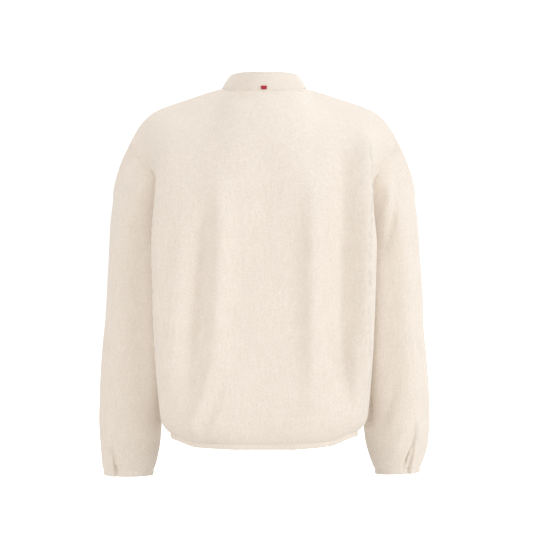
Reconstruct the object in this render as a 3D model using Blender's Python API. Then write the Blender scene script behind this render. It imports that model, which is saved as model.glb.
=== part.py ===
"""A zip-front fleece jacket in the shape it takes on a wearer, as a set of sewn cloth walls.

Sizes are in millimetres and go out in metres. +X is the wearer's right, +Y the zip side, +Z up.
The origin is the middle of the neck opening, level with the neck seam at the back.
"""

import math

import bmesh
import bpy
import numpy as np

for thing in list(bpy.data.objects):
    bpy.data.objects.remove(thing, do_unlink=True)

MM = 0.001
CLOTH = 2.8  # wall of the fleece
RIB_CLOTH = 3.4  # wall of the collar, a folded band of rib
GAP = 0.3  # between two pieces that are sewn together
ZIP_HALF = 9.0  # from the centre line to each front edge
UNDERARM_Z = -258.0
HEM_TOP_Z = -598.0  # where the cloth ends and its binding starts
BINDING = 8.0  # height of the hem and cuff bindings
CUFF_TOP_Z = -663.0

NECK_COLUMNS = 6  # columns of the back from its centre line to the shoulder seam's neck end
FRONT_NECK_COLUMNS = 5
SHOULDER_COLUMNS = 11
NECK_SHARE = 0.3  # share of a panel's half width that ends at the neck
SEAM_SMOOTHING = 4
ARM_ROWS = 10  # rows of a panel between the underarm and the shoulder seam
LOWER_Z = (HEM_TOP_Z, -590.0, -578.0, -560.0, -530.0, -490.0, -450.0, -410.0, -370.0, -330.0, -300.0, -278.0)

# The trunk below the arms, a row for each level.
# Columns: z, back_y, edge_x, edge_y, side_x, side_y, front_y. The edge is the fold beside each sleeve.
TORSO_ROWS = (
    (-598, -113, 148, -72, 162, 4, 112),
    (-586, -121, 165, -84, 170, 7, 118),
    (-560, -127, 171, -94, 163, 12, 123),
    (-500, -125, 177, -98, 156, 16, 122),
    (-400, -122, 184, -99, 151, 19, 121),
    (-300, -123, 188, -97, 149, 20, 120),
    (-258, -124, 189, -95, 161, 20, 118),
)
# Half of the neck seam. Columns: angle from the middle of the back, z.
NECK_ROWS = ((0, 0), (50, 3), (90, 9), (125, -18), (155, -50), (180, -63))
NECK_HALF_WIDTH = 76.0
NECK_MIDDLE_Y = 4.0
NECK_BACK = 70.0
NECK_FRONT = 74.0
# The collar's top edge. Columns: the same angle, z.
COLLAR_TOP_ROWS = ((0, 32.5), (45, 33), (72, 31), (90, 27), (130, -4), (180, -28))
COLLAR_HALF_WIDTH = 64.0
COLLAR_BACK = 62.0
COLLAR_FRONT = 63.0
COLLAR_SHARES = (0.0, 0.09, 1 / 3, 2 / 3, 1.0)  # rows of the collar from its seam to its top edge
COLLAR_SWELL = 1.6  # how far the collar's middle stands out of a straight slope
RIB_SPLIT = 5  # columns of the collar, every second one a rib, between two of the panels' neck columns
RIB_RISE = 0.35  # how far a rib stands out of the collar's mean face, and a furrow lies under it

# The shoulder seam from the neck to the dropped shoulder point. Columns: x, y, z.
SHOULDER_LINE = (
    (76, 4, 9),
    (100, 6, 2.6),
    (135, 8, -9.4),
    (170, 9, -20.6),
    (199, 10, -34),
    (222, 11, -60),
    (240, 12, -94),
)
# The centre lines from the underarm level to the neck seam. Columns: y, z.
BACK_CENTRE = ((-124, -258), (-122, -200), (-117, -140), (-106, -80), (-89, -32), (-66, 0))
FRONT_CENTRE = ((118, -258), (118, -210), (114, -160), (102, -110), (78, -62))
SOFT_SHARES = (0.0, 0.12, 0.5, 0.75, 1.0)
TOP_HOLD = 5  # the higher, the nearer to the top edge its own corner stays
BACK_FULLNESS = 12.0  # how far the shoulder blades stand out of the plain patch
FRONT_FULLNESS = 6.0

# The armhole seam from the underarm to the shoulder point. Columns: x, y, z on the right, z on the left.
ARMHOLE_BACK = (
    (161, 20, -258, -258),
    (166, 0, -244, -244),
    (173, -18, -215, -212),
    (181, -28, -182, -175),
    (191, -29, -150, -139),
    (206, -19, -127, -119),
    (222, -3, -109, -105),
    (240, 12, -94, -94),
)
ARMHOLE_FRONT = (
    (161, 20, -258, -258),
    (165, 42, -243, -243),
    (171, 62, -212, -212),
    (179, 72, -178, -178),
    (190, 70, -148, -148),
    (206, 56, -124, -124),
    (224, 34, -106, -106),
    (240, 12, -94, -94),
)

# The sleeves below the armhole, a row for each level.
# Columns: z, left inner x, left outer x, right inner x, right outer x, middle_y, half_depth.
SLEEVE_ROWS = (
    (-281, 171, 276, 171, 275, 31, 58),
    (-318, 170, 278, 170, 279, 32, 58),
    (-360, 169, 280, 169, 281, 33, 57),
    (-405, 169, 284, 169, 283, 35, 55),
    (-450, 171, 288, 170, 287, 37, 54),
    (-495, 174, 291, 172, 291, 39, 53),
    (-540, 178, 293, 175, 294, 41, 51),
    (-580, 182, 294, 176, 294, 42, 49),
    (-608, 183, 292, 178, 293, 43, 46),
    (-630, 187, 290, 184, 289, 43, 42),
    (-648, 191, 290, 190, 283, 44, 38),
    (-663, 196, 286, 196, 277, 44, 35),
)
SLEEVE_FAN_ROWS = 6  # rows that turn from the armhole's slope to the level rings
# The pleat at the outer back of each cuff. Columns: angle round the sleeve, how far the cloth moves out.
PLEAT = ((108, 0.0), (112.5, -1.6), (117, -4.2), (120, 3.0), (123, 2.4), (126, 1.0))
PLEAT_TOP_Z = {"left": -612.0, "right": -575.0}

# The largest folds of the back, a row for each, on a line through three points.
# Columns: x1, z1, x2, z2, x3, z3, half_width, height out of the cloth.
BACK_FOLDS = (
    (-108, -210, -112, -380, -124, -575, 15, -4.5),
    (-134, -215, -148, -350, -162, -545, 17, 4.0),
    (-78, -130, -80, -350, -82, -590, 17, 5.0),
    (-97, -488, -117, -532, -137, -578, 12, 4.0),
    (50, -190, 50, -370, 50, -545, 18, -2.5),
    (79, -135, 79, -300, 78, -555, 16, 5.5),
    (126, -130, 128, -300, 128, -545, 20, -5.0),
)


def through(stations, values, at):
    """Read a smooth curve that passes through the values at rising stations."""
    stations = np.asarray(stations, float)
    values = np.asarray(values, float)
    slopes = np.gradient(values, stations, axis=0)
    last = len(stations) - 2
    i = int(np.clip(np.searchsorted(stations, at, side="right") - 1, 0, last))
    span = stations[i + 1] - stations[i]
    t = (at - stations[i]) / span
    ends = values[i] * (1 + 2 * t) * (1 - t) ** 2 + values[i + 1] * t * t * (3 - 2 * t)
    return ends + span * (slopes[i] * t * (1 - t) ** 2 - slopes[i + 1] * t * t * (1 - t))


def stations_of(points):
    steps = np.linalg.norm(np.diff(points, axis=0), axis=1)
    return np.concatenate([[0.0], np.cumsum(steps)])


def along(points, share):
    """The point at a share of the length of a smooth line through the points."""
    points = np.asarray(points, float)
    stations = stations_of(points)
    return through(stations, points, share * stations[-1])


def ring_point(z, share, part):
    """A point of the trunk's outer face: share runs from the centre back or the zip to the side seam."""
    levels = [row[0] for row in TORSO_ROWS]
    _, back_y, edge_x, edge_y, side_x, side_y, front_y = through(levels, TORSO_ROWS, z)
    blade = (0.56 * edge_x, back_y + 0.07 * (edge_y - back_y))
    chest = (0.68 * side_x, front_y - 0.2 * (front_y - side_y))
    line = np.array([
        (-blade[0], blade[1]),
        (0, back_y),
        blade,
        (edge_x, edge_y),
        (side_x, side_y),
        chest,
        (0, front_y),
        (-chest[0], chest[1]),
    ])
    stations = stations_of(line)
    side = stations[4]
    start = stations[1] if part == "back" else stations[6] - ZIP_HALF
    x, y = through(stations, line, start + share * (side - start))
    return np.array([x, y, z])


def neck_point(angle):
    turn = math.radians(angle)
    reach = NECK_BACK if angle <= 90 else NECK_FRONT
    z = through([row[0] for row in NECK_ROWS], [row[1] for row in NECK_ROWS], angle)
    return np.array([NECK_HALF_WIDTH * math.sin(turn), NECK_MIDDLE_Y - reach * math.cos(turn), z])


def collar_top_point(angle):
    turn = math.radians(angle)
    reach = COLLAR_BACK if angle <= 90 else COLLAR_FRONT
    z = through([row[0] for row in COLLAR_TOP_ROWS], [row[1] for row in COLLAR_TOP_ROWS], angle)
    return np.array([COLLAR_HALF_WIDTH * math.sin(turn), NECK_MIDDLE_Y - reach * math.cos(turn), z])


FRONT_NECK_ANGLE = 180 - math.degrees(math.asin(ZIP_HALF / NECK_HALF_WIDTH))


def top_point(share, part):
    """A point of a panel's top edge: round the neck, then down the shoulder seam."""
    if share <= NECK_SHARE:
        start = 0.0 if part == "back" else FRONT_NECK_ANGLE
        return neck_point(start + (90 - start) * share / NECK_SHARE)
    return along(SHOULDER_LINE, (share - NECK_SHARE) / (1 - NECK_SHARE))


def armhole_point(share, part, side):
    rows = ARMHOLE_BACK if part == "back" else ARMHOLE_FRONT
    pick = 2 if side == "right" else 3
    return along([(row[0], row[1], row[pick]) for row in rows], share)


def centre_point(share, part):
    if part == "back":
        y, z = along(BACK_CENTRE, share)
        return np.array([0.0, y, z])
    y, z = along(FRONT_CENTRE, share)
    return np.array([ZIP_HALF, y, z])


def soft_top_point(share, part):
    """The top edge with its corner at the neck rounded off, which the cloth below follows."""
    return through(SOFT_SHARES, [top_point(at, part) for at in SOFT_SHARES], share)


def yoke_point(u, v, part, side):
    """A point above the underarm: a patch between the four edges, with the fullness of the body added."""
    low, high = ring_point(UNDERARM_Z, u, part), soft_top_point(u, part)
    inner, outer = centre_point(v, part), armhole_point(v, part, side)
    low_in, low_out = ring_point(UNDERARM_Z, 0.0, part), ring_point(UNDERARM_Z, 1.0, part)
    top_in, top_out = top_point(0.0, part), top_point(1.0, part)
    patch = (1 - v) * low + v * high + (1 - u) * inner + u * outer
    patch -= (1 - u) * ((1 - v) * low_in + v * top_in) + u * ((1 - v) * low_out + v * top_out)
    patch += v ** TOP_HOLD * (top_point(u, part) - high)
    full = -BACK_FULLNESS if part == "back" else FRONT_FULLNESS
    patch[1] += full * math.sin(math.pi * u ** 0.8) * math.sin(math.pi * v)
    return patch


def shares_across(neck_columns):
    neck = np.linspace(0.0, NECK_SHARE, neck_columns + 1)
    shoulder = np.linspace(NECK_SHARE, 1.0, SHOULDER_COLUMNS + 1)[1:]
    return np.concatenate([neck, shoulder])


def half_panel(part, side):
    """Outer points of half the back or one front, rows from the hem up, columns from the middle out."""
    neck_columns = NECK_COLUMNS if part == "back" else FRONT_NECK_COLUMNS
    across = shares_across(neck_columns)
    rows = [[ring_point(z, u, part) for u in across] for z in LOWER_Z]
    for v in np.linspace(0.0, 1.0, ARM_ROWS + 1):
        rows.append([yoke_point(u, v, part, side) for u in across])
    grid = np.array(rows)
    if side == "left":
        grid[:, :, 0] *= -1
    return grid


def relaxed(grid, passes):
    """Even out the inside of a grid, with its edges held."""
    for _ in range(passes):
        around = grid[:-2, 1:-1] + grid[2:, 1:-1] + grid[1:-1, :-2] + grid[1:-1, 2:]
        grid[1:-1, 1:-1] = 0.6 * grid[1:-1, 1:-1] + 0.1 * around
    return grid


def sleeve_ring_point(z, angle, side):
    """A point of a level ring; angle 0 is the side next to the trunk, 90 the back, 180 the outside."""
    levels = [-row[0] for row in SLEEVE_ROWS]
    row = through(levels, SLEEVE_ROWS, -z)
    near, far = (row[1], row[2]) if side == "left" else (row[3], row[4])
    turn = math.radians(angle)
    x = (near + far) / 2 - (far - near) / 2 * math.cos(turn)
    return np.array([x, row[5] - row[6] * math.sin(turn), z])


def sleeve_start(angle, side):
    if angle <= 180:
        return armhole_point(angle / 180, "back", side)
    return armhole_point((360 - angle) / 180, "front", side)


def fan_point(angle, t, side):
    """A point between the armhole and the first level ring, on a curve that leaves the seam outward."""
    turn = math.radians(angle)
    start, end = sleeve_start(angle, side), sleeve_ring_point(SLEEVE_ROWS[0][0], angle, side)
    length = np.linalg.norm(end - start)
    out = (1 - math.cos(turn)) / 2
    leave = np.array([0.85 - 0.35 * out, -0.5 * math.sin(turn), -0.25 - 0.65 * out])
    leave *= length / np.linalg.norm(leave)
    arrive = np.array([0.03, 0.02, -1.0]) * length
    ends = start * (1 + 2 * t) * (1 - t) ** 2 + end * t * t * (3 - 2 * t)
    return ends + leave * t * (1 - t) ** 2 - arrive * t * t * (1 - t)


def sleeve_angles():
    plain = [18.0 * i for i in range(20)]
    return sorted(set(plain) | {row[0] for row in PLEAT})


def sleeve_grid(side):
    """Outer points of a sleeve, rows from the armhole down, columns round it."""
    angles = sleeve_angles()
    rows = []
    for t in np.linspace(0.0, 1.0, SLEEVE_FAN_ROWS + 1)[:-1]:
        rows.append([fan_point(angle, t, side) for angle in angles])
    # The seam's added columns lie on the straight lines between the panels' own points.
    plain = [18.0 * i for i in range(21)]
    seam = np.array([sleeve_start(angle % 360, side) for angle in plain])
    rows[0] = [[np.interp(angle, plain, seam[:, axis]) for axis in range(3)] for angle in angles]
    for row in SLEEVE_ROWS:
        rows.append([sleeve_ring_point(row[0], angle, side) for angle in angles])
    grid = np.array(rows)
    pleat_angles = [row[0] for row in PLEAT]
    pleat_moves = [row[1] for row in PLEAT]
    for r in range(SLEEVE_FAN_ROWS, len(grid)):
        depth = (PLEAT_TOP_Z[side] - grid[r, 0, 2]) / (PLEAT_TOP_Z[side] - CUFF_TOP_Z)
        strength = min(max(depth, 0.0), 1.0)
        middle = grid[r].mean(axis=0)
        for c, angle in enumerate(angles):
            move = strength * np.interp(angle, pleat_angles, pleat_moves, left=0.0, right=0.0)
            away = grid[r, c] - middle
            grid[r, c] += away / np.linalg.norm(away) * move
    if side == "left":
        grid[:, :, 0] *= -1
    return grid


def normals_of(grid, inside, closed):
    """Unit directions out of the cloth at each point of a grid; inside holds a point within for each row."""
    if closed:
        wide = np.concatenate([grid[:, -1:], grid, grid[:, :1]], axis=1)
        across = (wide[:, 2:] - wide[:, :-2]) / 2
    else:
        across = np.gradient(grid, axis=1)
    up = np.gradient(grid, axis=0)
    found = np.cross(across, up)
    found /= np.maximum(np.linalg.norm(found, axis=2, keepdims=True), 1e-9)
    away = grid - inside[:, None, :]
    if (found * away).sum() < 0:
        found = -found
    return found


def unit(vectors):
    return vectors / np.maximum(np.linalg.norm(vectors, axis=-1, keepdims=True), 1e-9)


def fold_height(x, z):
    """How far the back's folds lift the cloth at x and z."""
    total = 0.0
    for x1, z1, x2, z2, x3, z3, half_width, height in BACK_FOLDS:
        share = (z1 - z) / (z1 - z3)
        if not 0 < share < 1:
            continue
        middle = through([-z1, -z2, -z3], [x1, x2, x3], -z)
        total += height * math.exp(-(((x - middle) / half_width) ** 2)) * math.sin(math.pi * share) ** 0.6
    return total


def trunk_middle(grid):
    middle = np.zeros((len(grid), 3))
    middle[:, 2] = grid[:, :, 2].mean(axis=1) - 20
    return middle


def build_back():
    left, right = half_panel("back", "left"), half_panel("back", "right")
    grid = relaxed(np.concatenate([left[:, :0:-1], right], axis=1), 2)
    out = normals_of(grid, trunk_middle(grid), False)
    for r in range(1, len(grid) - 1):
        for c in range(1, grid.shape[1] - 1):
            grid[r, c] += out[r, c] * fold_height(grid[r, c, 0], grid[r, c, 2])
    return grid


panels = {
    "back": build_back(),
    "front_left": relaxed(half_panel("front", "left"), 2),
    "front_right": relaxed(half_panel("front", "right"), 2),
}
sleeves = {side: sleeve_grid(side) for side in ("left", "right")}


def split_evenly(values, parts):
    """The values with each step between two of them split into equal parts."""
    at = np.arange((len(values) - 1) * parts + 1) / parts
    return np.interp(at, np.arange(len(values)), values)


def between(line, parts):
    """The points of a line with each straight stretch split into equal parts."""
    return np.stack([split_evenly(line[:, axis], parts) for axis in range(3)], axis=1)


def collar_grid():
    """Outer points of the collar, rows from the neck seam up, columns from the left zip edge round the back."""
    back = [90 * i / NECK_COLUMNS for i in range(NECK_COLUMNS + 1)]
    front = [90 + (FRONT_NECK_ANGLE - 90) * i / FRONT_NECK_COLUMNS for i in range(1, FRONT_NECK_COLUMNS + 1)]
    sewn = np.array([neck_point(angle) for angle in back + front])
    half = split_evenly(back + front, RIB_SPLIT)
    low = np.array([neck_point(angle) for angle in half])
    top_end = 180 - math.degrees(math.asin(ZIP_HALF / COLLAR_HALF_WIDTH))
    top_angles = [min(angle, top_end) if angle < FRONT_NECK_ANGLE else top_end for angle in half]
    high = np.array([collar_top_point(angle) for angle in top_angles])
    # The seam row runs straight between the panels' own points.
    rows = [between(sewn, RIB_SPLIT)]
    for t in COLLAR_SHARES[1:]:
        row = (1 - t) * low + t * high
        swell = COLLAR_SWELL * math.sin(math.pi * t)
        row[:, :2] += swell * unit(row[:, :2] - np.array([0.0, NECK_MIDDLE_Y]))
        rows.append(row)
    right = np.array(rows)
    left = right[:, :0:-1] * np.array([-1.0, 1.0, 1.0])
    return np.concatenate([left, right], axis=1)


collar = collar_grid()

normals = {name: normals_of(grid, trunk_middle(grid), False) for name, grid in panels.items()}
for side in ("left", "right"):
    middle = sleeves[side].mean(axis=1)
    normals[side] = normals_of(sleeves[side], middle, True)
collar_inside = np.array([[0.0, NECK_MIDDLE_Y, z] for z in collar[:, :, 2].mean(axis=1)])
normals["collar"] = normals_of(collar, collar_inside, False)

# Pieces that meet at a seam share one direction there, so that their walls end on one plane.
columns = NECK_COLUMNS + SHOULDER_COLUMNS
UNDERARM_ROW = len(LOWER_Z)
last_row = UNDERARM_ROW + ARM_ROWS
centre = RIB_SPLIT * (NECK_COLUMNS + FRONT_NECK_COLUMNS)  # the collar's column at the middle of the back


def share_direction(places):
    mean = unit(sum(normals[name][row, column] for name, row, column in places))
    for name, row, column in places:
        normals[name][row, column] = mean


angle_list = sleeve_angles()
for side in ("left", "right"):
    front = "front_" + side
    edge = 0 if side == "left" else 2 * columns
    front_edge = panels[front].shape[1] - 1
    for row in range(UNDERARM_ROW):
        share_direction([("back", row, edge), (front, row, front_edge)])
    for i in range(1, ARM_ROWS):
        at_back = angle_list.index(18.0 * i)
        at_front = angle_list.index(360.0 - 18.0 * i)
        share_direction([("back", UNDERARM_ROW + i, edge), (side, 0, at_back)])
        share_direction([(front, UNDERARM_ROW + i, front_edge), (side, 0, at_front)])
    share_direction([("back", UNDERARM_ROW, edge), (front, UNDERARM_ROW, front_edge), (side, 0, 0)])
    at_top = angle_list.index(180.0)
    share_direction([("back", last_row, edge), (front, last_row, front_edge), (side, 0, at_top)])
    for i in range(1, SHOULDER_COLUMNS):
        back_column = columns - NECK_COLUMNS - i if side == "left" else columns + NECK_COLUMNS + i
        share_direction([("back", last_row, back_column), (front, last_row, FRONT_NECK_COLUMNS + i)])
    step = -1 if side == "left" else 1
    neck_place = ("back", last_row, columns + step * NECK_COLUMNS)
    corner = ("collar", 0, centre + step * RIB_SPLIT * NECK_COLUMNS)
    share_direction([neck_place, (front, last_row, FRONT_NECK_COLUMNS), corner])
    for i in range(1, NECK_COLUMNS):
        share_direction([("back", last_row, columns + step * i), ("collar", 0, centre + step * RIB_SPLIT * i)])
    for i in range(FRONT_NECK_COLUMNS):
        collar_column = centre + step * (centre - RIB_SPLIT * i)
        share_direction([(front, last_row, i), ("collar", 0, collar_column)])
    normals[front][:, 0, 0] = 0.0
    normals["collar"][:, centre + step * centre, 0] = 0.0
share_direction([("back", last_row, columns), ("collar", 0, centre)])
normals["collar"][0] = unit(between(normals["collar"][0, ::RIB_SPLIT], RIB_SPLIT))
for side in ("left", "right"):
    # At an armhole the shared direction turns evenly and stays square to the seam.
    plain = [angle_list.index(18.0 * i) for i in range(2 * ARM_ROWS)]
    seam, facing = sleeves[side][0][plain], normals[side][0][plain]
    run = unit(np.roll(seam, -1, axis=0) - np.roll(seam, 1, axis=0))
    for _ in range(SEAM_SMOOTHING):
        facing = unit(0.5 * facing + 0.25 * (np.roll(facing, 1, axis=0) + np.roll(facing, -1, axis=0)))
        facing = unit(facing - run * (facing * run).sum(axis=1, keepdims=True))
    square = dict(zip(plain, facing))
    for at, direction in square.items():
        normals[side][0][at] = direction
    edge = 0 if side == "left" else 2 * columns
    front = "front_" + side
    for i in range(ARM_ROWS + 1):
        normals["back"][UNDERARM_ROW + i, edge] = square[angle_list.index(18.0 * i)]
        normals[front][UNDERARM_ROW + i, -1] = square[angle_list.index((360.0 - 18.0 * i) % 360)]
for name in normals:
    normals[name] = unit(normals[name])
for side in ("left", "right"):
    # The pleat's added seam columns take their direction from the columns on each side.
    seam = normals[side][0]
    plain = [c for c, angle in enumerate(angle_list) if angle % 18 == 0]
    around = [angle_list[c] for c in plain] + [360.0]
    known = np.vstack([seam[plain], seam[plain[:1]]])
    for c, angle in enumerate(angle_list):
        seam[c] = [np.interp(angle, around, known[:, axis]) for axis in range(3)]
    normals[side][0] = unit(seam)
    normals[side][-1] = unit(normals[side][-1] * np.array([1.0, 1.0, 0.0]))
for name in panels:
    normals[name][0] = unit(normals[name][0] * np.array([1.0, 1.0, 0.0]))


def drawn_back(outer, inner, closed):
    """Both faces of a wall with each sewn edge drawn back by half the gap, within the cloth."""
    def inward(line, beside, lower):
        run = np.gradient(line, axis=0)
        through_wall = lower - line
        away = np.cross(unit(run), unit(through_wall))
        sign = np.sign(((beside - line) * away).sum(axis=1, keepdims=True))
        return away * sign * GAP / 2
    moves = np.zeros_like(outer)
    moves[0] += inward(outer[0], outer[1], inner[0])
    moves[-1] += inward(outer[-1], outer[-2], inner[-1])
    if not closed:
        moves[:, 0] += inward(outer[:, 0], outer[:, 1], inner[:, 0])
        moves[:, -1] += inward(outer[:, -1], outer[:, -2], inner[:, -1])
    return outer + moves, inner + moves


def add_object(name, vertices, faces):
    mesh = bpy.data.meshes.new(name)
    shape = bmesh.new()
    placed = [shape.verts.new([MM * value for value in vertex]) for vertex in vertices]
    for face in faces:
        shape.faces.new([placed[i] for i in face])
    bmesh.ops.recalc_face_normals(shape, faces=shape.faces)
    shape.to_mesh(mesh)
    shape.free()
    obj = bpy.data.objects.new(name, mesh)
    bpy.context.scene.collection.objects.link(obj)
    return obj


def add_loops(name, loops, closed):
    """A solid from loops of points, one loop for each station along it, joined to a ring or capped."""
    count, size = len(loops), len(loops[0])
    vertices = [point for loop in loops for point in loop]
    faces = []
    for i in range(count if closed else count - 1):
        after = (i + 1) % count
        for j in range(size):
            k = (j + 1) % size
            faces.append((i * size + j, i * size + k, after * size + k, after * size + j))
    if not closed:
        for j in range(1, size - 1):
            faces.append((0, j, j + 1))
            far = (count - 1) * size
            faces.append((far, far + j + 1, far + j))
    return add_object(name, vertices, faces)


def add_wall(name, outer, inner, closed):
    """A cloth wall between its outer and inner points, closed round its edges."""
    rows, cols = outer.shape[:2]
    vertices = np.concatenate([outer.reshape(-1, 3), inner.reshape(-1, 3)])
    lift = rows * cols
    spans = cols if closed else cols - 1
    faces = []
    for r in range(rows - 1):
        for c in range(spans):
            d = (c + 1) % cols
            face = (r * cols + c, r * cols + d, (r + 1) * cols + d, (r + 1) * cols + c)
            faces.append(face)
            faces.append(tuple(lift + i for i in reversed(face)))
    edges = [(r * cols + c, r * cols + (c + 1) % cols) for r in (0, rows - 1) for c in range(spans)]
    if not closed:
        edges += [(r * cols + c, (r + 1) * cols + c) for c in (0, cols - 1) for r in range(rows - 1)]
    for a, b in edges:
        # Both walls of a seam split its twisted edge the same way, from the lower outer point.
        if vertices[a][2] > vertices[b][2]:
            a, b = b, a
        faces += [(a, b, lift + b), (a, lift + b, lift + a)]
    return add_object(name, vertices, faces)


made = {}
for name, grid in panels.items():
    outer, inner = drawn_back(grid, grid - CLOTH * normals[name], False)
    made[name] = add_wall(name, outer, inner, False)
for side, grid in sleeves.items():
    outer, inner = drawn_back(grid, grid - CLOTH * normals[side], True)
    made["sleeve_" + side] = add_wall("sleeve_" + side, outer, inner, True)
outer, inner = drawn_back(collar, collar - RIB_CLOTH * normals["collar"], False)
rises = np.array([RIB_RISE if abs(i - centre) % 2 == 0 else -RIB_RISE for i in range(2 * centre + 1)])
outer[1:] += rises[:, None] * normals["collar"][1:]
made["collar"] = add_wall("collar", outer, inner, False)

# The binding of an edge: how far out of the cloth's outer face, and how far down from its end.
BINDING_PROFILE = ((0.5, 0.3), (0.9, 3.5), (-0.4, BINDING), (-3.4, BINDING), (-3.6, 0.3))


def binding_loops(line, outward):
    down = np.array([0.0, 0.0, -1.0])
    return [[point + out * away + down * drop for out, drop in BINDING_PROFILE] for point, away in zip(line, outward)]


hem_line = np.concatenate([
    panels["front_left"][0, ::1][: -1],
    panels["back"][0],
    panels["front_right"][0, ::-1][1:],
])
hem_out = np.concatenate([
    normals["front_left"][0][: -1],
    normals["back"][0],
    normals["front_right"][0, ::-1][1:],
])
made["hem_binding"] = add_loops("hem_binding", binding_loops(hem_line, hem_out), False)
for side in ("left", "right"):
    name = "cuff_binding_" + side
    made[name] = add_loops(name, binding_loops(sleeves[side][-1], normals[side][-1]), True)

# The zip follows the front edges from the hem to the top of the collar.
front = panels["front_right"]
zip_line = np.concatenate([
    front[:1, 0] + np.array([0.0, 0.0, -BINDING + 0.3]),
    front[:, 0],
    collar[1:, -1],
])
zip_out = np.concatenate([
    normals["front_right"][:1, 0],
    normals["front_right"][:, 0],
    normals["collar"][1:, -1],
])
CHAIN_HALF = 3.1
TAPE_IN = CHAIN_HALF + GAP
TAPE_OUT = ZIP_HALF - GAP
TAPE = 1.2
TAPE_SUNK = 0.8  # how far the tape lies under the cloth's outer face


def strip_loops(first, last, x_in, x_out, top, bottom):
    """Loops of a strip along the zip, between two widths and two depths under the cloth's outer face."""
    loops = []
    for i in range(first, last):
        point = zip_line[i] * np.array([0.0, 1.0, 1.0])
        corners = ((x_in, top), (x_out, top), (x_out, bottom), (x_in, bottom))
        loops.append([point + np.array([x, 0.0, 0.0]) - zip_out[i] * depth for x, depth in corners])
    return loops


last = len(zip_line)
for sign, name in ((-1, "zip_tape_left"), (1, "zip_tape_right")):
    loops = strip_loops(0, last, sign * TAPE_IN, sign * TAPE_OUT, TAPE_SUNK, TAPE_SUNK + TAPE)
    made[name] = add_loops(name, loops, False)

# The closed zip's slider stands near the collar's top edge.
zip_stations = stations_of(zip_line)
SLIDER_FROM_TOP = 12.0
slider_at = zip_stations[-1] - SLIDER_FROM_TOP


def zip_place(station):
    """The cloth face on the centre line, the way up along the zip and the way out of the cloth."""
    point = np.array([0.0] + [np.interp(station, zip_stations, zip_line[:, axis]) for axis in (1, 2)])
    out = unit(np.array([0.0] + [np.interp(station, zip_stations, zip_out[:, axis]) for axis in (1, 2)]))
    return point, np.array([0.0, -out[2], out[1]]), out


CHAIN_FRONT = 0.6  # how far the closed teeth stand out of the cloth's face
CHAIN_BACK = 2.6
SLIDER_LENGTH = 12.0
SLIDER_HALF = 5.0
SLIDER_NOSE_HALF = 3.6
PLATE = 1.6
POST_LOW = 3.0  # above the slider's middle, where the post between its plates starts
POST_HIGH = 5.4
POST_HALF = 1.6
CHEEK_IN = 2.2
CHEEK_OUT = 3.3
PIN = 0.8
PIN_RISE = 4.5  # the pin's middle over the cloth's face
PIN_BELOW = 1.5  # and below the slider's middle
EYE_CLEAR = 0.35
EYE = 2.0
TAB_LENGTH = 24.0
TAB_HALF = 3.3
TAB = 1.6
TAB_LEAN = 5.0  # degrees from the zip's line towards the cloth

chain_end, _, _ = zip_place(slider_at + POST_LOW - GAP)
chain_points = [i for i in range(1, last) if zip_stations[i] < slider_at - SLIDER_LENGTH / 2]
chain_loops = strip_loops(chain_points[0], chain_points[-1] + 1, -CHAIN_HALF, CHAIN_HALF, -CHAIN_FRONT, CHAIN_BACK)
for station in (slider_at - SLIDER_LENGTH / 2, slider_at + POST_LOW - GAP):
    point, _, out = zip_place(station)
    corners = ((-1, -CHAIN_FRONT), (1, -CHAIN_FRONT), (1, CHAIN_BACK), (-1, CHAIN_BACK))
    chain_loops.append([point + np.array([x * CHAIN_HALF, 0.0, 0.0]) - out * depth for x, depth in corners])
made["zip_chain"] = add_loops("zip_chain", chain_loops, False)

STOP_PROUD = 0.6  # how far the stop stands out of the teeth, front and back
stop_loops = strip_loops(0, 2, -CHAIN_HALF, CHAIN_HALF, -CHAIN_FRONT - STOP_PROUD, CHAIN_BACK + STOP_PROUD)
stop_loops[1] = [point - np.array([0.0, 0.0, GAP]) for point in stop_loops[1]]
made["zip_bottom_stop"] = add_loops("zip_bottom_stop", stop_loops, False)

slider_point, slider_up, slider_out = zip_place(slider_at)


def slider_space(x, up, out):
    return slider_point + np.array([x, 0.0, 0.0]) + slider_up * up + slider_out * out


def prism(name, outline, low, high, place):
    """A solid from an outline in two directions, raised between two heights in the third."""
    return add_loops(name, [[place(a, b, height) for a, b in outline] for height in (low, high)], False)


def merged(name, solids, holes):
    """One solid from the union of some and the difference of others."""
    base = solids[0]
    for other, operation in [(solid, "UNION") for solid in solids[1:]] + [(hole, "DIFFERENCE") for hole in holes]:
        modifier = base.modifiers.new("join", "BOOLEAN")
        modifier.operation = operation
        modifier.solver = "EXACT"
        modifier.object = other
    bpy.context.view_layer.update()
    graph = bpy.context.evaluated_depsgraph_get()
    mesh = bpy.data.meshes.new_from_object(base.evaluated_get(graph))
    for helper in solids + holes:
        bpy.data.objects.remove(helper, do_unlink=True)
    obj = bpy.data.objects.new(name, mesh)
    bpy.context.scene.collection.objects.link(obj)
    return obj


def circle(radius, count, a=0.0, b=0.0):
    turns = [2 * math.pi * (i + 0.5) / count for i in range(count)]
    return [(a + radius * math.cos(turn), b + radius * math.sin(turn)) for turn in turns]


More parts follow.
